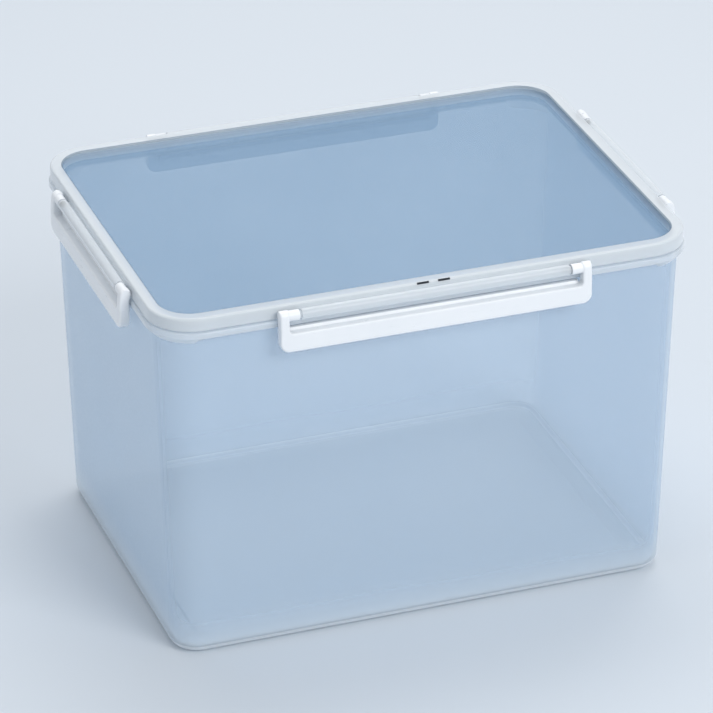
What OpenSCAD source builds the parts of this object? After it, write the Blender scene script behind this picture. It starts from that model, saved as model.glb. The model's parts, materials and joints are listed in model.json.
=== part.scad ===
// Clear storage box with a gasketed lid and four clamp latches.
// Origin: centre of the base, on the surface that the box stands on. +Z is up, the front faces -Y.

/* [Overall] */
// Height with the lid on
box_h = 203; // [160:1:260]
// Width of the sunk panel in the lid, along X
panel_w = 280; // [240:1:340]
// Depth of the sunk panel in the lid, along Y
panel_d = 203; // [170:1:260]
// Corner radius of the sunk panel
panel_r = 17; // [14:0.5:24]

/* [Tub] */
// Thickness of the wall and of the floor
wall = 2.2; // [1.8:0.1:2.4]
// How far each wall leans in from the flange to the base
draft_in = 5.6; // [3:0.1:7]
// Radius of the rounded bottom edge
base_fillet = 7; // [5:0.5:9]
// Height of the step in the middle of the base
base_step = 1.2; // [0.6:0.1:2]
// Distance from the foot of the wall to that step
step_inset = 15.5; // [13:0.5:20]
// How far the flange stands out beyond the lid
flange_out = 0.8; // [0.4:0.1:1.2]
// Thickness of the flange
flange_t = 3.5; // [3:0.1:4]

/* [Lid] */
// Width of the rim's top face
rim_w = 7; // [6.6:0.1:8]
// Height of the rim's outer skirt
skirt_h = 7.5; // [7:0.1:8]
// Depth of the panel below the rim
panel_drop = 3; // [2:0.1:3.5]
// Length of the hinge barrels at the front and back
long_barrel = 146; // [120:1:180]
// Length of the hinge barrels at the sides
short_barrel = 102; // [80:1:120]

/* [Latches] */
// Height of the grip bar, from its foot to the top of its front face
bar_h = 10.5; // [9:0.5:12]
// Width of each arm
arm_w = 5; // [4:0.5:6]
// Length of each knuckle, from the arm inwards
knuckle_l = 5.8; // [4:0.1:7]
// How far the hook reaches in under the flange
hook_bite = 1.4; // [1.2:0.1:1.6]
// Play between the hook and the flange
hook_play = 0.5; // [0.5:0.05:0.6]

/* [Hidden] */
$fn = 64;
eps = 0.01;

// Every outline shares these four corner centres, so a corner is always a true arc.
corner_x = panel_w / 2 - panel_r;
corner_y = panel_d / 2 - panel_r;
lid_r = panel_r + rim_w;
edge_r = 1;
chamfer = 0.8;

// Lid
plate_t = 2.2;
skirt_t = 1.7;
plug_t = 1.5;
plug_depth = 9;
panel_top = box_h - panel_drop;
panel_bottom = panel_top - plate_t;
groove_in = panel_r + plug_t;
groove_out = lid_r - skirt_t;
groove_top = box_h - plate_t;

// Tub
plug_play = 0.4;
lip_drop = 4.6;
skirt_play = 0.8;
mouth_r = groove_in + plug_play + wall;
lip_top = box_h - lip_drop;
flange_top = box_h - skirt_h - skirt_play;
flange_bottom = flange_top - flange_t;
lip_r = 0.6;
flange_r = lid_r + flange_out;
gusset_h = 3.6;
gusset_root = 1;
base_r = mouth_r - draft_in;
draft = atan(draft_in / flange_bottom);
inner_fillet = base_fillet - wall;
step_r = 8;

// Gasket
gasket_gap = 0.1;
gasket_bead = 0.7;

// Hinges
pivot_out = 3.6;
pivot_drop = 4.7;
pivot_r = lid_r + pivot_out;
pivot_z = box_h - pivot_drop;
barrel_r = 2.8;
web_rise = 0.8;
pin_r = 1.9;
pin_play = 0.08;
knuckle_gap = 1.2;
pin_end_gap = 0.3;
end_cap = 1.2;
notch_l = 6.5;
notch_h = 1;
notch_bite = 0.8;
notch_gap = 5;

// Latches
arm_gap = 1.6;
arm_t = 5.2;
arm_in = lid_r + arm_gap;
arm_out = arm_in + arm_t;
arm_crown = 0.6;
knuckle_r = 3.2;
hook_top = flange_bottom - hook_play;
hook_tip = flange_r - hook_bite;
hook_h = 2.8;
hook_foot = hook_top - 6;
hook_shelf = arm_in + 0.6;
hook_root = arm_in + 2;
hook_end_gap = 1;
bar_drop = 1.2;
bar_top = hook_top - bar_drop;
bar_foot = bar_top - bar_h;
foot_r = 2.4;
heel_r = 1.2;
latch_corner = 5;
window_corner = 2;
long_latch = long_barrel + 2 * (knuckle_gap + knuckle_l + arm_w);
short_latch = short_barrel + 2 * (knuckle_gap + knuckle_l + arm_w);

// Points of an arc, used where an outline turns
function arc(c, r, from, to, steps = 8) =
    [for (i = [0 : steps]) let (a = from + (to - from) * i / steps) c + r * [cos(a), sin(a)]];

// Distance of a drafted wall from the corner centre at height z, for a wall that meets the base at r
function lean(r, z) = r + z * tan(draft);

// Centre of a fillet of radius f that touches a floor at height z and a drafted wall at r
function fillet_centre(r, z, f) = [lean(r, z + f) - f / cos(draft), z + f];

// Rounded rectangle about the origin
module rounded(w, d, r) {
    square([w, d - 2 * r], center = true);
    square([w - 2 * r, d], center = true);
    for (x = [-1, 1], y = [-1, 1])
        translate([x * (w / 2 - r), y * (d / 2 - r)])
            circle(r);
}

// Places a child, which faces +X at the given corner line, on one of the four sides
module on_side(i) {
    rotate(90 * i)
        translate([i % 2 == 0 ? corner_x : corner_y, 0, 0])
            children();
}

// A straight run of a section along a side, with the section's x measured out from the corner centres
module run(l) {
    translate([0, l / 2, 0])
        rotate([90, 0, 0])
            linear_extrude(l)
                children();
}

// Arcs of a section about the four corner centres
module corners() {
    for (i = [0 : 3])
        rotate(90 * i)
            translate(i % 2 == 0 ? [corner_x, corner_y, 0] : [corner_y, corner_x, 0])
                rotate_extrude(angle = 90)
                    children();
}

// A section swept all the way round
module ring() {
    corners() children();
    for (i = [0 : 3])
        on_side(i)
            run(i % 2 == 0 ? 2 * corner_y : 2 * corner_x)
                children();
}

module tub_section() {
    outer = fillet_centre(base_r, 0, base_fillet);
    inner_r = base_r - wall / cos(draft);
    inner = fillet_centre(inner_r, wall, inner_fillet);
    polygon(concat(
        [[0, 0]],
        arc(outer, base_fillet, -90, -draft),
        [
            [mouth_r, flange_bottom],
            [flange_r - chamfer, flange_bottom],
            [flange_r, flange_bottom + chamfer],
            [flange_r, flange_top - chamfer],
            [flange_r - chamfer, flange_top],
            [mouth_r, flange_top],
        ],
        arc([mouth_r - lip_r, lip_top - lip_r], lip_r, 0, 90, 4),
        arc([mouth_r - wall + lip_r, lip_top - lip_r], lip_r, 90, 180, 4),
        [[mouth_r - wall, flange_bottom]],
        arc(inner, inner_fillet, -draft, -90),
        [[0, wall]]
    ));
}

module gusset_section() {
    foot = flange_bottom - gusset_h;
    polygon([
        [mouth_r - gusset_root, flange_bottom + eps],
        [flange_r - chamfer, flange_bottom + eps],
        [lean(base_r, foot), foot],
        [mouth_r - gusset_root, foot],
    ]);
}

module tub() {
    step_w = 2 * (corner_x + base_r - step_inset);
    step_d = 2 * (corner_y + base_r - step_inset);
    color([0.80, 0.87, 0.93, 0.5]) {
        difference() {
            union() {
                ring() tub_section();
                translate([-corner_x, -corner_y, 0])
                    cube([2 * corner_x, 2 * corner_y, wall]);
                translate([0, 0, wall - eps])
                    linear_extrude(base_step + eps)
                        rounded(step_w, step_d, step_r);
                corners() gusset_section();
            }
            translate([0, 0, -1])
                linear_extrude(base_step + 1)
                    rounded(step_w - 2 * wall, step_d - 2 * wall, step_r - wall);
        }
    }
}

module lid_section() {
    polygon(concat(
        [
            [0, panel_bottom],
            [panel_r, panel_bottom],
            [panel_r, box_h - plug_depth],
            [groove_in, box_h - plug_depth],
            [groove_in, groove_top],
            [groove_out, groove_top],
            [groove_out, box_h - skirt_h],
            [lid_r, box_h - skirt_h],
        ],
        arc([lid_r - edge_r, box_h - edge_r], edge_r, 0, 90, 6),
        arc([panel_r + edge_r, box_h - edge_r], edge_r, 90, 180, 6),
        [
            [panel_r, panel_top],
            [0, panel_top],
        ]
    ));
}

// Hinge barrel on its web, with a trunnion pin at each end
module hinge_barrel(l) {
    pin_l = l + 2 * (knuckle_gap + knuckle_l + arm_w - end_cap - pin_end_gap);
    web_root = lid_r - skirt_t / 2;
    run(l)
        union() {
            translate([pivot_r, pivot_z])
                circle(barrel_r);
            translate([web_root, pivot_z - barrel_r])
                square([pivot_r - web_root, barrel_r + web_rise]);
        }
    translate([pivot_r, 0, pivot_z])
        rotate([90, 0, 0])
            cylinder(h = pin_l, r = pin_r, center = true);
}

module lid() {
    color([0.80, 0.87, 0.93, 0.5]) {
        difference() {
            union() {
                ring() lid_section();
                translate([-corner_x, -corner_y, panel_bottom])
                    cube([2 * corner_x, 2 * corner_y, plate_t]);
                for (i = [0 : 3])
                    on_side(i)
                        hinge_barrel(i % 2 == 0 ? short_barrel : long_barrel);
            }
            // Two short notches in the rim's outer edge, in the middle of the front
            on_side(3)
                for (s = [-1, 1])
                    translate([lid_r, s * (notch_gap + notch_l) / 2, box_h])
                        cube([2 * notch_bite, notch_l, 2 * notch_h], center = true);
        }
    }
}

module gasket_section() {
    polygon([
        [groove_in, groove_top],
        [groove_in, lip_top + gasket_gap + gasket_bead],
        [mouth_r - wall, lip_top + gasket_gap],
        [mouth_r, lip_top + gasket_gap],
        [groove_out, lip_top + gasket_gap + gasket_bead],
        [groove_out, groove_top],
    ]);
}

module gasket() {
    color([0.95, 0.95, 0.94])
        ring() gasket_section();
}

// Side view of an arm and the grip bar below it
module latch_side() {
    height = pivot_z - bar_foot - foot_r;
    steps = 12;
    translate([pivot_r, pivot_z])
        circle(knuckle_r);
    polygon(concat(
        [[arm_in, pivot_z]],
        arc([arm_in + heel_r, bar_foot + heel_r], heel_r, 180, 270, 4),
        arc([arm_out - foot_r, bar_foot + foot_r], foot_r, -90, 0, 8),
        [for (i = [1 : steps])
            [arm_out + arm_crown * sin(180 * i / steps), bar_foot + foot_r + height * i / steps]]
    ));
}

// Front view: a U with its arms upwards
module latch_front_view(l) {
    top = pivot_z + knuckle_r;
    window = l - 2 * arm_w;
    difference() {
        union() {
            translate([-l / 2, bar_foot + latch_corner])
                square([l, top - bar_foot - latch_corner]);
            translate([-l / 2 + latch_corner, bar_foot])
                square([l - 2 * latch_corner, bar_h]);
            for (s = [-1, 1])
                translate([s * (l / 2 - latch_corner), bar_foot + latch_corner])
                    circle(latch_corner);
        }
        translate([-window / 2, bar_top + window_corner])
            square([window, top]);
        translate([-window / 2 + window_corner, bar_top])
            square([window - 2 * window_corner, top]);
        for (s = [-1, 1])
            translate([s * (window / 2 - window_corner), bar_top + window_corner])
                circle(window_corner);
    }
}

module hook_section() {
    polygon([
        [hook_tip, hook_top],
        [hook_shelf, hook_top],
        [hook_root, bar_top - hook_end_gap],
        [hook_root, hook_foot],
        [arm_in, hook_foot],
        [hook_tip, hook_top - hook_h],
    ]);
}

module latch(i, l) {
    window = l - 2 * arm_w;
    color([0.96, 0.97, 0.98])
        on_side(i)
            difference() {
                union() {
                    intersection() {
                        run(l) latch_side();
                        translate([arm_in - knuckle_r, 0, 0])
                            rotate([90, 0, 90])
                                linear_extrude(4 * knuckle_r)
                                    latch_front_view(l);
                    }
                    run(window - 2 * hook_end_gap) hook_section();
                    for (s = [-1, 1])
                        translate([pivot_r, s * (window - knuckle_l) / 2, pivot_z])
                            rotate([90, 0, 0])
                                cylinder(h = knuckle_l + 2 * eps, r = barrel_r, center = true);
                }
                translate([pivot_r, 0, pivot_z])
                    rotate([90, 0, 0])
                        cylinder(h = l - 2 * end_cap, r = pin_r + pin_play, center = true);
            }
}

module latch_front() latch(3, long_latch);
module latch_back() latch(1, long_latch);
module latch_left() latch(2, short_latch);
module latch_right() latch(0, short_latch);

tub();
lid();
gasket();
latch_front();
latch_back();
latch_left();
latch_right();
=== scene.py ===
import json
import math

import bmesh
import bpy
from mathutils import Matrix, Vector


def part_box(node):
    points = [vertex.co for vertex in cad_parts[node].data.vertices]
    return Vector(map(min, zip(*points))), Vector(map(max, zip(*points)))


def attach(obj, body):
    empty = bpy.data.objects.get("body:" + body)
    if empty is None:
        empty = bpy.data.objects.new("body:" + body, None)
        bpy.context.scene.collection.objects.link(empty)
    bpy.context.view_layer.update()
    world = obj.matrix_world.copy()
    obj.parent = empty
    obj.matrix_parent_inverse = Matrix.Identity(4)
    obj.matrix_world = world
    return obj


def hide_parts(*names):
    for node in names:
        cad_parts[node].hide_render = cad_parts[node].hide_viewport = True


# Clear storage box with a gasketed lid and four clamp latches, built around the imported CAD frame.
# Lengths in this script are in millimetres until to_metres() puts them into a mesh.

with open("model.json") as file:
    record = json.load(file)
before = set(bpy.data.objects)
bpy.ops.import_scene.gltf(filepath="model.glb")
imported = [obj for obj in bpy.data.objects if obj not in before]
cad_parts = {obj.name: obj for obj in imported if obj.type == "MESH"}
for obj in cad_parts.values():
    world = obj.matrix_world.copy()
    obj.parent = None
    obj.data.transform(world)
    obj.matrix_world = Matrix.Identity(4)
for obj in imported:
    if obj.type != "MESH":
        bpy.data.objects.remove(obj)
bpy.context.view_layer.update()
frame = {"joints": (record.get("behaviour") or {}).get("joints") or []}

MM = 0.001
joints = {j["name"]: j for j in frame["joints"]}
tub_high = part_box("tub")[1] / MM
lid_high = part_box("lid")[1] / MM
front_low, front_high = (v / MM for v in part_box("latch_front"))
left_low, left_high = (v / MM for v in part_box("latch_left"))
gasket_low, gasket_high = (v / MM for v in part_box("gasket"))
front_pivot = Vector(joints["latch_front_hinge"]["pos_m"]) / MM

# Sections are drawn outwards from the corner centres, which every outline shares
PANEL_R = 17
RIM_W = 7
LID_R = PANEL_R + RIM_W
FLANGE_LEDGE = 0.8
FLANGE_R = LID_R + FLANGE_LEDGE
WALL = 2.2
PLUG_RIB = 1.5
PLUG_PLAY = 0.4
core_x = tub_high.x - FLANGE_R
core_y = tub_high.y - FLANGE_R
pivot_r = -front_pivot.y - core_y
pivot_z = front_pivot.z
box_h = lid_high.z

# Tub
LIP_TOP = tub_high.z
LIP_EASE = 0.7
FLANGE_DROP = 8.3
FLANGE_T = 3.5
FLANGE_TOP = box_h - FLANGE_DROP
FLANGE_BOTTOM = FLANGE_TOP - FLANGE_T
FLANGE_EASE_LOW, FLANGE_EASE_HIGH = 0.6, 0.8
NECK_R = 0.4
TAPER = 5.6
MOUTH_R = PANEL_R + PLUG_RIB + PLUG_PLAY + WALL
BASE_R = MOUTH_R - TAPER
BASE_FILLET = 7
BASE_STEP = 1.2
STEP_R = 8
STEP_EASE = 0.6
GATE_R, GATE_OUT_R, GATE_H = 3, 3.6, 0.5
FOOT_H = 4.6
GUSSET_H = 3.6
RIM_INSET = 0.5
DRAFT = math.atan((MOUTH_R - BASE_R) / FLANGE_BOTTOM)

# The middle band of the inner fillet between wall and floor, painted as a bright line (a painted
# highlight), in degrees of the inner fillet below the horizontal
FOLD_FROM, FOLD_TO = 30, 62

# Lid
PLATE = 2.2
SKIRT = 1.7
PANEL_SINK = 3
PANEL_TOP = box_h - PANEL_SINK
PANEL_BOTTOM = PANEL_TOP - PLATE
GROOVE_IN = PANEL_R + PLUG_RIB
GROOVE_OUT = LID_R - SKIRT
GROOVE_TOP = gasket_high.z
PLUG_DROP = 9
PLUG_BOTTOM = box_h - PLUG_DROP
SKIRT_DROP = 7.5
SKIRT_BOTTOM = box_h - SKIRT_DROP
SKIRT_CHAMFER = 0.3
LID_EASE = 0.5
RIM_EASE = 1.2
SHADOW_LINE_W, SHADOW_LINE_H = 1.0, 1.3
BARREL_R = 2.8
WEB_RISE = 0.8
PIN_R = 1.9
PIN_END = 1.5
KNUCKLE_GAP = 1.2
KNUCKLE_L = 5.8
NOTCH_L = 6.5
NOTCH_H = 1
NOTCH_BITE = 0.8
NOTCH_GAP = 5

# Gasket
GASKET_GAP = 0.06
GASKET_EASE = 0.3
BEAD_H = 0.7

# Latches
ARM_W = 5
ARM_GAP = 1.6
ARM_T = 5.2
ARM_IN = LID_R + ARM_GAP
ARM_OUT = ARM_IN + ARM_T
ARM_BLEND = 3
CROWN = 0.6
HOOK_PLAY = 0.5
HOOK_TOP = FLANGE_BOTTOM - HOOK_PLAY
HOOK_BITE = 1.4
HOOK_NOSE = 0.5
HOOK_SHELF = 2.8
HOOK_FOOT = 6
HOOK_ROOT = 2
HOOK_IN_LOW, HOOK_IN_HIGH = 0.2, 0.6
HOOK_COVER = 0.6
BAR_DROP = 1.2
BAR_TOP = HOOK_TOP - BAR_DROP
BAR_FOOT = front_low.z
ARM_TOP_R = 3.2
LATCH_CORNER, WINDOW_CORNER = 5, 2
LATCH_EASE = 1.1
KNUCKLE_ROOT = 1
BORE_PLAY = 0.08
BORE_END = 1.2
latch_lengths = {
    "front": front_high.x - front_low.x,
    "back": front_high.x - front_low.x,
    "left": left_high.y - left_low.y,
    "right": left_high.y - left_low.y,
}

# Meshes
WELD = 0.01
CORNER_STEPS = 14
SIDE_STEPS = 10
LATCH_STEPS = 8
ARM_TOP_TURNS = (88, 80, 70, 58, 46, 34, 22, 10, 0)
HUB_R, HUB_OUT_R = 2, 12
SIGNS = ((1, 1), (-1, 1), (-1, -1), (1, -1))


# Profiles

def arc(centre, r, start, end, steps=6):
    """Points of an arc about centre, with the angles in degrees."""
    turn = [math.radians(start + (end - start) * i / steps) for i in range(steps + 1)]
    return [(centre[0] + r * math.cos(a), centre[1] + r * math.sin(a)) for a in turn]


def lean(r, z):
    """Distance of a drafted wall from the corner centre at height z."""
    return r + z * math.tan(DRAFT)


def fillet_centre(r, z, f):
    """Centre of a fillet that touches a floor at height z and the drafted wall at r."""
    return lean(r, z + f) - f / math.cos(DRAFT), z + f


def stations():
    """Corner signs and outward direction of each step all the way round."""
    steps = []
    for i, (sx, sy) in enumerate(SIGNS):
        nx, ny = SIGNS[(i + 1) % 4]
        for s in range(CORNER_STEPS + 1):
            bend = math.sin(math.pi * s / CORNER_STEPS)
            steps.append((sx, sy, math.pi / 2 * (i + s / CORNER_STEPS), bend))
        for s in range(1, SIDE_STEPS):
            t = s / SIDE_STEPS
            steps.append((sx + (nx - sx) * t, sy + (ny - sy) * t, math.pi / 2 * (i + 1), 0))
    return steps


def to_metres(point):
    """A point in millimetres as the metres of a mesh."""
    return Vector(point) * MM


def ring_points(r, z, corner=None):
    """A rounded outline at distance r from the corner centres; corner is its own radius if not r."""
    rho = r if corner is None else corner
    return [
        (sx * (core_x + r - rho) + rho * math.cos(a), sy * (core_y + r - rho) + rho * math.sin(a), z)
        for sx, sy, a, _ in stations()
    ]


def outlines(section):
    """A rounded outline for each (out, up) point of a section."""
    return [ring_points(r, z) for r, z in section]


def disc_points(r, z):
    """A circle about the middle of the box with as many points as an outline."""
    points = []
    for sx, sy, a, _ in stations():
        turn = math.atan2(sy * core_y + MOUTH_R * math.sin(a), sx * core_x + MOUTH_R * math.cos(a))
        points.append((r * math.cos(turn), r * math.sin(turn), z))
    return points


def rim_distance(at):
    """Distance of a point from the rectangle through the corner centres."""
    return math.hypot(max(0, abs(at.x) - core_x), max(0, abs(at.y) - core_y))


def lofted(name, rings, closed=False):
    """A skin over rings of equal length, with both ends filled, or joined to each other if closed."""
    bm = bmesh.new()
    loops = [[bm.verts.new(to_metres(p)) for p in ring] for ring in rings]
    n = len(loops[0])
    pairs = list(zip(loops, loops[1:]))
    if closed:
        pairs.append((loops[-1], loops[0]))
    for a, b in pairs:
        for i in range(n):
            j = (i + 1) % n
            bm.faces.new((a[i], a[j], b[j], b[i]))
    if not closed:
        bm.faces.new(loops[0][::-1])
        bm.faces.new(loops[-1])
    bmesh.ops.remove_doubles(bm, verts=bm.verts, dist=0.001 * MM)
    bmesh.ops.recalc_face_normals(bm, faces=bm.faces)
    mesh = bpy.data.meshes.new(name)
    bm.to_mesh(mesh)
    bm.free()
    piece = bpy.data.objects.new(name, mesh)
    bpy.context.scene.collection.objects.link(piece)
    return piece


def prism(name, section, length):
    """A section of (out, up) points swept along Y, with its middle at Y = 0."""
    return lofted(name, [[(x, s * length / 2, z) for x, z in section] for s in (-1, 1)])


def cylinder(name, r, length, at, edge=0.3):
    """A round bar along Y with eased ends."""
    shape = [(0.4 * r, -length / 2)] + arc((r - edge, -length / 2 + edge), edge, -90, 0, 4)
    shape += arc((r - edge, length / 2 - edge), edge, 0, 90, 4) + [(0.4 * r, length / 2)]
    turns = [math.tau * i / 40 for i in range(40)]
    rings = [[(at[0] + q * math.cos(t), y, at[1] + q * math.sin(t)) for t in turns] for q, y in shape]
    return lofted(name, rings)


def boolean(piece, tool, operation):
    """Joins tool to piece or cuts it away, and removes tool."""
    bpy.context.view_layer.objects.active = piece
    mod = piece.modifiers.new(operation, "BOOLEAN")
    mod.object = tool
    mod.operation = operation
    mod.solver = "EXACT"
    bpy.context.view_layer.update()
    apply_modifiers(piece)
    bpy.data.objects.remove(tool)
    weld(piece)
    return piece


def weld(piece):
    """Joins points that a boolean has left almost on top of each other, and drops the slivers."""
    bm = bmesh.new()
    bm.from_mesh(piece.data)
    bmesh.ops.remove_doubles(bm, verts=bm.verts, dist=WELD * MM)
    bmesh.ops.dissolve_degenerate(bm, edges=bm.edges, dist=WELD * MM)
    bm.to_mesh(piece.data)
    bm.free()


def apply_modifiers(piece):
    """Replaces a piece's mesh by what its modifiers make of it."""
    graph = bpy.context.evaluated_depsgraph_get()
    mesh = bpy.data.meshes.new_from_object(piece.evaluated_get(graph))
    old = piece.data
    piece.modifiers.clear()
    piece.data = mesh
    mesh.name = piece.name
    bpy.data.meshes.remove(old)


def smooth(piece, angle=32):
    """Smooth shading that keeps edges sharper than the angle, with flat faces kept flat."""
    piece.data.shade_smooth()
    piece.data.set_sharp_from_angle(angle=math.radians(angle))
    mod = piece.modifiers.new("weighted normals", "WEIGHTED_NORMAL")
    mod.keep_sharp = True
    mod.weight = 80
    return piece


def turned(piece, side):
    """Turns a piece that faces +X so that it faces the given side, at that side's corner line."""
    turns = {"right": 0, "back": 1, "left": 2, "front": 3}[side]
    core = core_x if turns % 2 == 0 else core_y
    move = Matrix.Translation((core * MM, 0, 0))
    piece.data.transform(Matrix.Rotation(turns * math.pi / 2, 4, "Z") @ move)
    return piece


# Node materials

PLASTIC_IOR = 1.49
SILICONE_IOR = 1.41


def material(name):
    """A new material, with its tree and its Principled shader."""
    mat = bpy.data.materials.new(name)
    mat.use_nodes = True
    tree = mat.node_tree
    return mat, tree, tree.nodes["Principled BSDF"]


def noise(tree, scale, detail=3.0, roughness=0.5, stretch=(1, 1, 1), distortion=0.0):
    """Noise in object space, in cycles per metre; returns its value socket."""
    place = tree.nodes.new("ShaderNodeTexCoord")
    mapping = tree.nodes.new("ShaderNodeMapping")
    mapping.inputs["Scale"].default_value = stretch
    tex = tree.nodes.new("ShaderNodeTexNoise")
    tex.inputs["Scale"].default_value = scale
    tex.inputs["Detail"].default_value = detail
    tex.inputs["Roughness"].default_value = roughness
    tex.inputs["Distortion"].default_value = distortion
    tree.links.new(place.outputs["Object"], mapping.inputs["Vector"])
    tree.links.new(mapping.outputs["Vector"], tex.inputs["Vector"])
    return tex.outputs["Fac"]


def height_above_base(tree):
    """Height in metres of a point of a piece at rest."""
    place = tree.nodes.new("ShaderNodeTexCoord")
    split = tree.nodes.new("ShaderNodeSeparateXYZ")
    tree.links.new(place.outputs["Object"], split.inputs["Vector"])
    return split.outputs["Z"]


def remap(tree, value, low, high, start=0.3, stop=0.7):
    """Maps a value from start..stop to low..high."""
    node = tree.nodes.new("ShaderNodeMapRange")
    node.inputs["From Min"].default_value = start
    node.inputs["From Max"].default_value = stop
    node.inputs["To Min"].default_value = low
    node.inputs["To Max"].default_value = high
    tree.links.new(value, node.inputs["Value"])
    return node.outputs["Result"]


def maths(tree, operation, a, b):
    """A Math node on two numbers or sockets; returns its value."""
    node = tree.nodes.new("ShaderNodeMath")
    node.operation = operation
    for socket, value in zip(node.inputs, (a, b)):
        if isinstance(value, (int, float)):
            socket.default_value = value
        else:
            tree.links.new(value, socket)
    return node.outputs[0]


def rgba(sockets):
    """The colour sockets of a Mix node, which has a set for each kind of data."""
    return [s for s in sockets if s.type == "RGBA"]


def mix_colour(tree, factor, a, b):
    """Mixes two colours, from a at factor 0 to b at 1; returns the colour socket."""
    node = tree.nodes.new("ShaderNodeMix")
    node.data_type = "RGBA"
    tree.links.new(factor, node.inputs["Factor"])
    for socket, value in zip(rgba(node.inputs), (a, b)):
        socket.default_value = (*value, 1)
    return rgba(node.outputs)[0]


def bump(tree, shader, height, strength, distance):
    """Bump on a shader from a height, with the distance in metres."""
    node = tree.nodes.new("ShaderNodeBump")
    node.inputs["Strength"].default_value = strength
    node.inputs["Distance"].default_value = distance
    tree.links.new(height, node.inputs["Height"])
    tree.links.new(node.outputs["Normal"], shader.inputs["Normal"])


def clear_plastic(name, haze, pale, deep):
    """Milky see-through polypropylene, denser near the base and where it is seen edge on, and paler near
    the base as painted light.

    Where the cloud is paler it is also a little less dense, to keep density times colour more even.
    """
    mat, tree, shader = material(name)
    cloud = noise(tree, 11, 2, 0.5)
    grain = noise(tree, 700, 2)
    wave = noise(tree, 12, 0)
    # Towards the base the plastic gets denser, for its thicker moulding there, and paler, which is painted
    # light: a glow along the foot.
    foot = maths(tree, "POWER", remap(tree, height_above_base(tree), 1, 0, 0.0, 0.03), 2.0)
    colour = mix_colour(tree, cloud, deep, pale)
    milky_and_base_glow = mix_colour(tree, foot, deep, (0.88, 0.93, 0.97))
    tree.links.new(colour, rgba(milky_and_base_glow.node.inputs)[0])
    tree.links.new(milky_and_base_glow, shader.inputs["Base Color"])
    tree.links.new(remap(tree, grain, 0.14, 0.24), shader.inputs["Roughness"])
    shader.inputs["IOR"].default_value = PLASTIC_IOR
    height = maths(tree, "ADD", wave, maths(tree, "MULTIPLY", grain, 0.008))
    bump(tree, shader, height, 0.3, 0.0003)
    facing = tree.nodes.new("ShaderNodeLayerWeight")
    facing.inputs["Blend"].default_value = 0.5
    edge = maths(tree, "MULTIPLY", maths(tree, "POWER", facing.outputs["Facing"], 4.0), 0.75)
    density = maths(tree, "ADD", remap(tree, cloud, haze + 0.01, haze - 0.01), edge)
    density = maths(tree, "ADD", density, maths(tree, "MULTIPLY", foot, 0.16))
    clear = tree.nodes.new("ShaderNodeBsdfTransparent")
    clear.inputs["Color"].default_value = (0.975, 0.99, 1.0, 1)
    mix = tree.nodes.new("ShaderNodeMixShader")
    tree.links.new(density, mix.inputs[0])
    tree.links.new(clear.outputs[0], mix.inputs[1])
    tree.links.new(shader.outputs[0], mix.inputs[2])
    tree.links.new(mix.outputs[0], tree.nodes["Material Output"].inputs["Surface"])
    return mat


def white_plastic():
    """Opaque white polypropylene of the latches: satin skin and light scuffs, with painted shade darkening
    its crevices.
    """
    mat, tree, shader = material("white_plastic")
    shade = noise(tree, 45, 3)
    grain = noise(tree, 1500, 2)
    scuff = noise(tree, 260, 5, 0.75, stretch=(0.35, 0.35, 3.0))
    colour = mix_colour(tree, shade, (0.87, 0.90, 0.93), (0.94, 0.96, 0.98))
    # Painted shade: ambient occlusion darkens the white toward grey in crevices and gaps between parts.
    crevice_shaded = mix_colour(tree, crevice_shade(tree, 0.004), (0.42, 0.45, 0.49), (1, 1, 1))
    tree.links.new(colour, rgba(crevice_shaded.node.inputs)[1])
    tree.links.new(crevice_shaded, shader.inputs["Base Color"])
    tree.links.new(remap(tree, scuff, 0.24, 0.46), shader.inputs["Roughness"])
    shader.inputs["IOR"].default_value = PLASTIC_IOR
    height = maths(tree, "ADD", grain, maths(tree, "MULTIPLY", scuff, 0.6))
    bump(tree, shader, height, 0.4, 0.00006)
    return mat


def crevice_shade(tree, reach):
    """Ambient occlusion for painted shade: from 0 deep in a gap to 1 in the open, looking as far as reach.
    """
    node = tree.nodes.new("ShaderNodeAmbientOcclusion")
    node.samples = 6
    node.inputs["Distance"].default_value = reach
    return remap(tree, node.outputs["AO"], 0, 1, 0.0, 0.9)


def notch_shade():
    """The dark inside of a notch that is too narrow for light to reach."""
    mat, tree, shader = material("notch_shade")
    depth = noise(tree, 400, 2)
    colour = mix_colour(tree, depth, (0.03, 0.035, 0.045), (0.06, 0.07, 0.085))
    tree.links.new(colour, shader.inputs["Base Color"])
    tree.links.new(remap(tree, depth, 0.5, 0.7), shader.inputs["Roughness"])
    return mat


def white_silicone():
    """Soft white silicone of the gasket."""
    mat, tree, shader = material("white_silicone")
    shade = noise(tree, 120, 3)
    grain = noise(tree, 3200, 2)
    colour = mix_colour(tree, shade, (0.86, 0.89, 0.90), (0.93, 0.95, 0.95))
    tree.links.new(colour, shader.inputs["Base Color"])
    tree.links.new(remap(tree, grain, 0.5, 0.62), shader.inputs["Roughness"])
    shader.inputs["IOR"].default_value = SILICONE_IOR
    bump(tree, shader, grain, 0.3, 0.00005)
    return mat


def paint(piece, mats, choose):
    """Gives a piece more materials, and each face the one that choose returns for its middle."""
    for mat in mats:
        piece.data.materials.append(mat)
    for face in piece.data.polygons:
        face.material_index = choose(face.center / MM)


def finish_piece(piece, mat, slot, body, *nodes):
    """Gives a piece its material and its body, and hides the CAD nodes that it stands for."""
    piece.data.materials.clear()
    piece.data.materials.append(mat)
    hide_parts(*nodes)
    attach(piece, body)
    return piece


# Pieces

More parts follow.
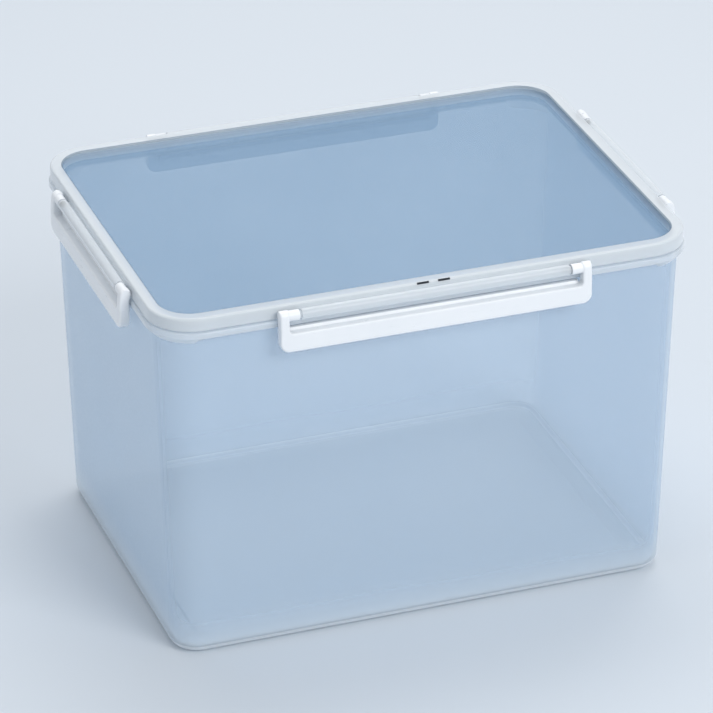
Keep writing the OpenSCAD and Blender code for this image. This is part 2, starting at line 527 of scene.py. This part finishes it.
def make_tub(mat, thick, fold_highlight):
    """The tub, with its flange and foot in the thick plastic, also on its floor as painted light, and the
    fold at its floor in its own plastic as a painted highlight.
    """
    inner_r = BASE_R - WALL / math.cos(DRAFT)
    inside = fillet_centre(inner_r, WALL, BASE_FILLET - WALL)
    rings = underside_rings() + outer_rings() + mouth_rings() + inner_rings(inside)
    piece = smooth(lofted("tub_shell", rings))
    finish_piece(piece, mat, "clear_plastic", "tub", "tub")

    def choose(at):
        # Painted highlight on the fold.
        if in_fold(at, inside, BASE_FILLET - WALL):
            return 2
        # Below FOOT_H the foot and the stepped floor get the paler, denser thick plastic: on the foot
        # fillet for its thickness, on the floor as painted light that lifts a floor which would read dark
        # for the little light that reaches it.
        rim = at.z > FLANGE_BOTTOM - GUSSET_H and rim_distance(at) > MOUTH_R - RIM_INSET
        return int(rim or at.z < FOOT_H)

    paint(piece, [thick, fold_highlight], choose)


def underside_rings():
    """The bottom from its middle outwards: raised gate mark, pocket and the step down to the foot."""
    rings = [disc_points(HUB_R, BASE_STEP - GATE_H), disc_points(GATE_R, BASE_STEP - GATE_H)]
    rings += [disc_points(GATE_OUT_R, BASE_STEP), disc_points(HUB_OUT_R, BASE_STEP)]
    step = arc((-WALL - STEP_EASE, BASE_STEP - STEP_EASE), STEP_EASE, 90, 0, 3)
    step += arc((-WALL + STEP_EASE, STEP_EASE), STEP_EASE, 180, 270, 3)
    pocket_r = STEP_R - WALL
    return rings + [ring_points(r, z, pocket_r + r + WALL) for r, z in step]


def outer_rings():
    """The outside from the foot up to the top of the flange."""
    foot = fillet_centre(BASE_R, 0, BASE_FILLET)
    rings = outlines(arc(foot, BASE_FILLET, -90, -math.degrees(DRAFT), 10))
    for share in (0.25, 0.5, 0.75):
        z = share * FLANGE_BOTTOM
        rings.append(ring_points(lean(BASE_R, z), z))
    rings.append(gusset_ring(MOUTH_R, FLANGE_BOTTOM, GUSSET_H))
    e = FLANGE_EASE_LOW
    rings += outlines(arc((FLANGE_R - e, FLANGE_BOTTOM + e), e, -90, 0, 3))
    e = FLANGE_EASE_HIGH
    return rings + outlines(arc((FLANGE_R - e, FLANGE_TOP - e), e, 0, 90, 4))


def mouth_rings():
    """The sealing lip that stands on the flange."""
    rings = outlines(arc((MOUTH_R + NECK_R, FLANGE_TOP + NECK_R), NECK_R, 270, 180, 3))
    rings += outlines(arc((MOUTH_R - LIP_EASE, LIP_TOP - LIP_EASE), LIP_EASE, 0, 90, 5))
    return rings + outlines(arc((MOUTH_R - WALL + LIP_EASE, LIP_TOP - LIP_EASE), LIP_EASE, 90, 180, 5))


def inner_rings(inside):
    """The inside from the flange down to the middle of the stepped floor."""
    rings = [ring_points(MOUTH_R - WALL, FLANGE_BOTTOM)]
    for share in (0.75, 0.5, 0.25):
        z = share * FLANGE_BOTTOM
        rings.append(ring_points(lean(BASE_R, z) - WALL / math.cos(DRAFT), z))
    rings += outlines(arc(inside, BASE_FILLET - WALL, -math.degrees(DRAFT), -90, 10))
    top = WALL + BASE_STEP
    step = arc((STEP_EASE, WALL + STEP_EASE), STEP_EASE, 270, 180, 3)
    step += arc((-STEP_EASE, top - STEP_EASE), STEP_EASE, 0, 90, 3)
    rings += [ring_points(r, z, STEP_R + r) for r, z in step]
    return rings + [disc_points(HUB_OUT_R, top), disc_points(HUB_R, top)]


def in_fold(at, centre, f):
    """True for the middle of the inner fillet, which a paler, denser plastic paints as a bright line
    between wall and floor: a painted highlight.
    """
    low, high = (centre[1] - f * math.sin(math.radians(a)) for a in (FOLD_TO, FOLD_FROM))
    return low < at.z < high and centre[0] < rim_distance(at) < centre[0] + f


def gusset_ring(r, z, drop):
    """The line where the flange meets the wall, lower at the corners, where a web stiffens it."""
    points = []
    for sx, sy, a, bend in stations():
        low = drop * min(1, 3 * bend)
        reach = r - low * math.tan(DRAFT)
        points.append((sx * core_x + reach * math.cos(a), sy * core_y + reach * math.sin(a), z - low))
    return points


def make_lid(mat, thick, shade, edge):
    """The lid, with its rim in the thick plastic, its notch walls in painted shade and the rim's inner
    edge in a dark plastic painted as its shadow line.
    """
    piece = lofted("lid_shell", lid_under_rings() + lid_rim_rings())
    for side, latch_l in latch_lengths.items():
        barrel_l = latch_l - 2 * (KNUCKLE_GAP + KNUCKLE_L + ARM_W)
        boolean(piece, turned(barrel(barrel_l), side), "UNION")
        pin = cylinder("pin", PIN_R, latch_l - 2 * PIN_END, (pivot_r, pivot_z))
        boolean(piece, turned(pin, side), "UNION")
    for s in (-1, 1):
        boolean(piece, turned(rim_notch(s), "front"), "DIFFERENCE")
    finish_piece(smooth(piece), mat, "clear_plastic", "lid", "lid")

    def choose(at):
        if in_rim_notch(at):
            return 2
        if rim_distance(at) > PANEL_R + SHADOW_LINE_W:
            return 1
        # Painted shadow line along the rim's inner rounding.
        return 3 if at.z > box_h - SHADOW_LINE_H else 0

    paint(piece, [thick, shade, edge], choose)


def lid_under_rings():
    """The lid's underside: panel, plug rib, gasket groove and the foot of the skirt."""
    e = LID_EASE
    rings = [disc_points(HUB_R, PANEL_BOTTOM), disc_points(HUB_OUT_R, PANEL_BOTTOM)]
    rings += outlines(arc((PANEL_R - e, PANEL_BOTTOM - e), e, 90, 0, 3))
    rings += outlines(arc((PANEL_R + e, PLUG_BOTTOM + e), e, 180, 270, 3))
    rings += outlines(arc((GROOVE_IN - e, PLUG_BOTTOM + e), e, 270, 360, 3))
    rings += outlines([(GROOVE_IN, GROOVE_TOP), (GROOVE_OUT, GROOVE_TOP)])
    rings.append(ring_points(GROOVE_OUT, SKIRT_BOTTOM + SKIRT_CHAMFER))
    rings.append(ring_points(GROOVE_OUT + SKIRT_CHAMFER, SKIRT_BOTTOM))
    return rings + outlines(arc((LID_R - e, SKIRT_BOTTOM + e), e, 270, 360, 3))


def lid_rim_rings():
    """The rim and the sunk panel inside it."""
    e = RIM_EASE
    rings = outlines(arc((LID_R - e, box_h - e), e, 0, 90, 6))
    rings += outlines(arc((PANEL_R + e, box_h - e), e, 90, 180, 6))
    rings += outlines(arc((PANEL_R - LID_EASE, PANEL_TOP + LID_EASE), LID_EASE, 360, 270, 3))
    return rings + [disc_points(HUB_OUT_R, PANEL_TOP), disc_points(HUB_R, PANEL_TOP)]


def barrel(length):
    """Hinge barrel with the web that carries it, a little lower than the barrel on top."""
    root = LID_R - SKIRT / 2
    web_top = pivot_z + WEB_RISE
    web_foot = pivot_z - BARREL_R
    start = math.degrees(math.asin((web_top - pivot_z) / BARREL_R))
    round_part = arc((pivot_r, pivot_z), BARREL_R, -90, 180 - start, 20)
    return prism("barrel", [(root, web_foot)] + round_part + [(root, web_top)], length)


def rim_notch(side):
    """One of the two short notches in the rim's outer edge, in the middle of the front."""
    near, far = LID_R - NOTCH_BITE, LID_R + NOTCH_BITE
    low, high = box_h - NOTCH_H, box_h + NOTCH_H
    notch = prism("notch", [(near, high), (near, low), (far, low), (far, high)], NOTCH_L)
    notch.data.transform(Matrix.Translation((0, side * (NOTCH_L + NOTCH_GAP) / 2 * MM, 0)))
    return notch


def in_rim_notch(at):
    """True for a point on the walls of one of the two notches."""
    near = core_y + LID_R - NOTCH_BITE
    eps = 0.02
    along = NOTCH_GAP / 2 - eps < abs(at.x) < NOTCH_GAP / 2 + NOTCH_L + eps
    return along and -at.y > near - eps and box_h - NOTCH_H - eps < at.z < box_h - eps


def make_gasket(mat):
    """The gasket ring in the lid's groove, beaded below where it meets the tub's lip."""
    section = gasket_side(GROOVE_IN + GASKET_GAP, MOUTH_R - WALL, 1)
    section += gasket_side(GROOVE_OUT - GASKET_GAP, MOUTH_R, -1)[::-1]
    piece = smooth(lofted("gasket_ring", outlines(section), closed=True))
    return finish_piece(piece, mat, "white_silicone", "lid", "gasket")


def gasket_side(edge, seat, inward):
    """One side of the gasket's section, from its top down to the bead over an edge of the lip."""
    low, top = gasket_low.z, GROOVE_TOP - GASKET_GAP
    return [
        (edge + GASKET_EASE * inward, top),
        (edge, top - GASKET_EASE),
        (edge, low + BEAD_H),
        (edge + 0.1 * inward, low + BEAD_H / 2),
        (seat, low + 0.05),
        (seat + 0.4 * inward, low),
    ]


def make_latch(side, mat):
    """The latch of one side, on its own body."""
    piece = latch_frame(latch_lengths[side])
    piece.name = piece.data.name = f"clamp_{side}"
    return finish_piece(turned(piece, side), mat, "white_plastic", f"latch_{side}", f"latch_{side}")


def latch_frame(length):
    """The U of a latch: two arms and the grip bar between them, with the hook and the knuckles."""
    window = length / 2 - ARM_W
    path = latch_path(length / 2, window)
    mirrored = [((-o[0], o[1]), (-i[0], i[1])) for o, i in reversed(path)]
    piece = lofted("latch", [latch_ring(out, inn) for out, inn in path + mirrored])
    boolean(piece, prism("hook", hook_section(), 2 * window - 2), "UNION")
    for s in (-1, 1):
        at = s * (window - KNUCKLE_L / 2)
        knuckle = cylinder("knuckle", BARREL_R, KNUCKLE_L + KNUCKLE_ROOT, (pivot_r, pivot_z))
        knuckle.data.transform(Matrix.Translation((0, (at + s * KNUCKLE_ROOT / 2) * MM, 0)))
        boolean(piece, knuckle, "UNION")
    bore = cylinder("bore", PIN_R + BORE_PLAY, length - 2 * BORE_END, (pivot_r, pivot_z), 0.05)
    boolean(piece, bore, "DIFFERENCE")
    return smooth(piece, 40)


def latch_path(half, window):
    """Outer and inner edge of half a latch, from the top of an arm down and round into the bar."""
    rise = [pivot_z + ARM_TOP_R * math.sin(math.radians(t)) for t in ARM_TOP_TURNS]
    rise += [pivot_z - ARM_BLEND, BAR_TOP + WINDOW_CORNER + 0.1]
    path = [((-half, z), (-window, z)) for z in rise]
    big, small = LATCH_CORNER, WINDOW_CORNER
    for i in range(LATCH_STEPS + 1):
        t = math.radians(180 + 90 * i / LATCH_STEPS)
        out = (-half + big + big * math.cos(t), BAR_FOOT + big + big * math.sin(t))
        inn = (-window + small + small * math.cos(t), BAR_TOP + small * (1 + math.sin(t)))
        path.append((out, inn))
    return path


def latch_depth(z):
    """Near and far face of a latch at a height: round about the pivot, then an arm with a crown."""
    above = z - pivot_z
    if above > 0:
        reach = math.sqrt(ARM_TOP_R ** 2 - above ** 2)
        return pivot_r - reach, pivot_r + reach
    share = min(1, -above / (pivot_z - BAR_FOOT))
    blend = min(1, -above / ARM_BLEND)
    near = (pivot_r - ARM_TOP_R) * (1 - blend) + ARM_IN * blend
    far = ARM_OUT + CROWN * math.sin(math.pi * share)
    return max(near, pivot_r - ARM_TOP_R), far


def latch_ring(out, inn):
    """Section of a latch between a point of its outer edge and one of its inner edge."""
    near, far = latch_depth(max(out[1], inn[1]))
    o, i = Vector(out), Vector(inn)
    wide = (o - i).length
    along = (o - i) / wide
    e = min(LATCH_EASE, 0.45 * (far - near), 0.45 * wide)
    corners = [
        ((e, near + e), 180, 270),
        ((wide - e, near + e), 270, 360),
        ((wide - e, far - e), 0, 90),
        ((e, far - e), 90, 180),
    ]
    points = []
    for centre, start, end in corners:
        for u, depth in arc(centre, e, start, end, 4):
            p = i + along * u
            points.append((depth, p[0], p[1]))
    return points


def hook_section():
    """The ledge that catches under the tub's flange, and its root in the bar."""
    tip = FLANGE_R - HOOK_BITE
    root = ARM_IN + HOOK_ROOT
    foot = HOOK_TOP - HOOK_FOOT
    section = arc((tip + HOOK_NOSE, HOOK_TOP - HOOK_NOSE), HOOK_NOSE, 90, 180, 4)
    section += [(tip, HOOK_TOP - HOOK_SHELF), (ARM_IN + HOOK_IN_LOW, foot), (root, foot)]
    return section + [(root, BAR_TOP - HOOK_COVER), (ARM_IN + HOOK_IN_HIGH, HOOK_TOP)]


# Stage, lights and camera

def make_floor():
    """A plain pale floor just under the foot, so that the two faces don't coincide."""
    size = 4.0
    bm = bmesh.new()
    bmesh.ops.create_grid(bm, x_segments=1, y_segments=1, size=size)
    mesh = bpy.data.meshes.new("floor")
    bm.to_mesh(mesh)
    bm.free()
    floor = bpy.data.objects.new("floor", mesh)
    floor.location.z = -0.2 * MM
    bpy.context.scene.collection.objects.link(floor)
    mat, _, shader = material("floor")
    shader.inputs["Base Color"].default_value = (0.70, 0.75, 0.80, 1)
    shader.inputs["Roughness"].default_value = 0.75
    mesh.materials.append(mat)


def make_world():
    """Even, slightly cool light from all round."""
    world = bpy.data.worlds.new("studio")
    bpy.context.scene.world = world
    world.use_nodes = True
    background = world.node_tree.nodes["Background"]
    background.inputs["Color"].default_value = (0.90, 0.94, 1.0, 1)
    background.inputs["Strength"].default_value = 0.48


def make_light(name, at, power, size):
    """A soft rectangular light aimed at the middle of the box."""
    data = bpy.data.lights.new(name, "AREA")
    data.energy = power
    data.shape = "RECTANGLE"
    data.size, data.size_y = size
    light = bpy.data.objects.new(name, data)
    light.location = at
    aim = Vector((0, 0, 0.1)) - Vector(at)
    light.rotation_euler = aim.to_track_quat("-Z", "Y").to_euler()
    bpy.context.scene.collection.objects.link(light)


def make_camera():
    """The camera: to the left of the front and above it, with a long lens."""
    azimuth, elevation, roll = (math.radians(a) for a in (-19.60, 27.82, -0.12))
    distance = 2.435
    target = Vector((-0.00336, 0, 0.1058))
    back = Vector((
        math.sin(azimuth) * math.cos(elevation),
        -math.cos(azimuth) * math.cos(elevation),
        math.sin(elevation),
    ))
    level = Vector((math.cos(azimuth), math.sin(azimuth), 0))
    up = back.cross(level)
    right = level * math.cos(roll) + up * math.sin(roll)
    rotation = Matrix((right, back.cross(right), back)).transposed()
    data = bpy.data.cameras.new("camera")
    data.sensor_width = 36
    data.lens = 227.2
    camera = bpy.data.objects.new("camera", data)
    camera.matrix_world = Matrix.Translation(target + back * distance) @ rotation.to_4x4()
    bpy.context.scene.collection.objects.link(camera)
    bpy.context.scene.camera = camera


def make_studio():
    """Floor, lights and camera, with enough bounces to see through the walls and the lid."""
    scene = bpy.context.scene
    scene.view_settings.view_transform = "Standard"
    scene.cycles.transparent_max_bounces = 32
    make_floor()
    make_world()
    make_light("key", (0.7, -1.8, 1.5), 24, (1.1, 0.9))
    make_light("top", (0.3, 0.8, 1.8), 18, (1.6, 1.2))
    make_light("fill", (-1.9, -0.5, 0.9), 3, (1.0, 1.0))
    make_camera()


make_studio()
wall_plastic = clear_plastic("wall_plastic", 0.28, (0.65, 0.77, 0.90), (0.58, 0.72, 0.87))
panel_plastic = clear_plastic("panel_plastic", 0.33, (0.30, 0.45, 0.62), (0.26, 0.41, 0.58))
rim_plastic = clear_plastic("rim_plastic", 0.5, (0.90, 0.93, 0.95), (0.86, 0.90, 0.93))
# Painted highlight: a paler, denser copy of the plastic for the bright line at the fold.
fold_highlight_plastic = clear_plastic("fold_highlight_plastic", 0.78, (0.96, 0.98, 0.99), (0.94, 0.96, 0.98))
# Painted shadow line: a dark, deep-tinted copy of the plastic for the rim's inner edge, standing for the
# shade and refraction there.
edge_shadow_plastic = clear_plastic("edge_shadow_plastic", 0.55, (0.24, 0.32, 0.40), (0.18, 0.26, 0.34))
latch_plastic = white_plastic()
make_tub(wall_plastic, rim_plastic, fold_highlight_plastic)
make_lid(panel_plastic, rim_plastic, notch_shade(), edge_shadow_plastic)
make_gasket(white_silicone())
for side_name in latch_lengths:
    make_latch(side_name, latch_plastic)
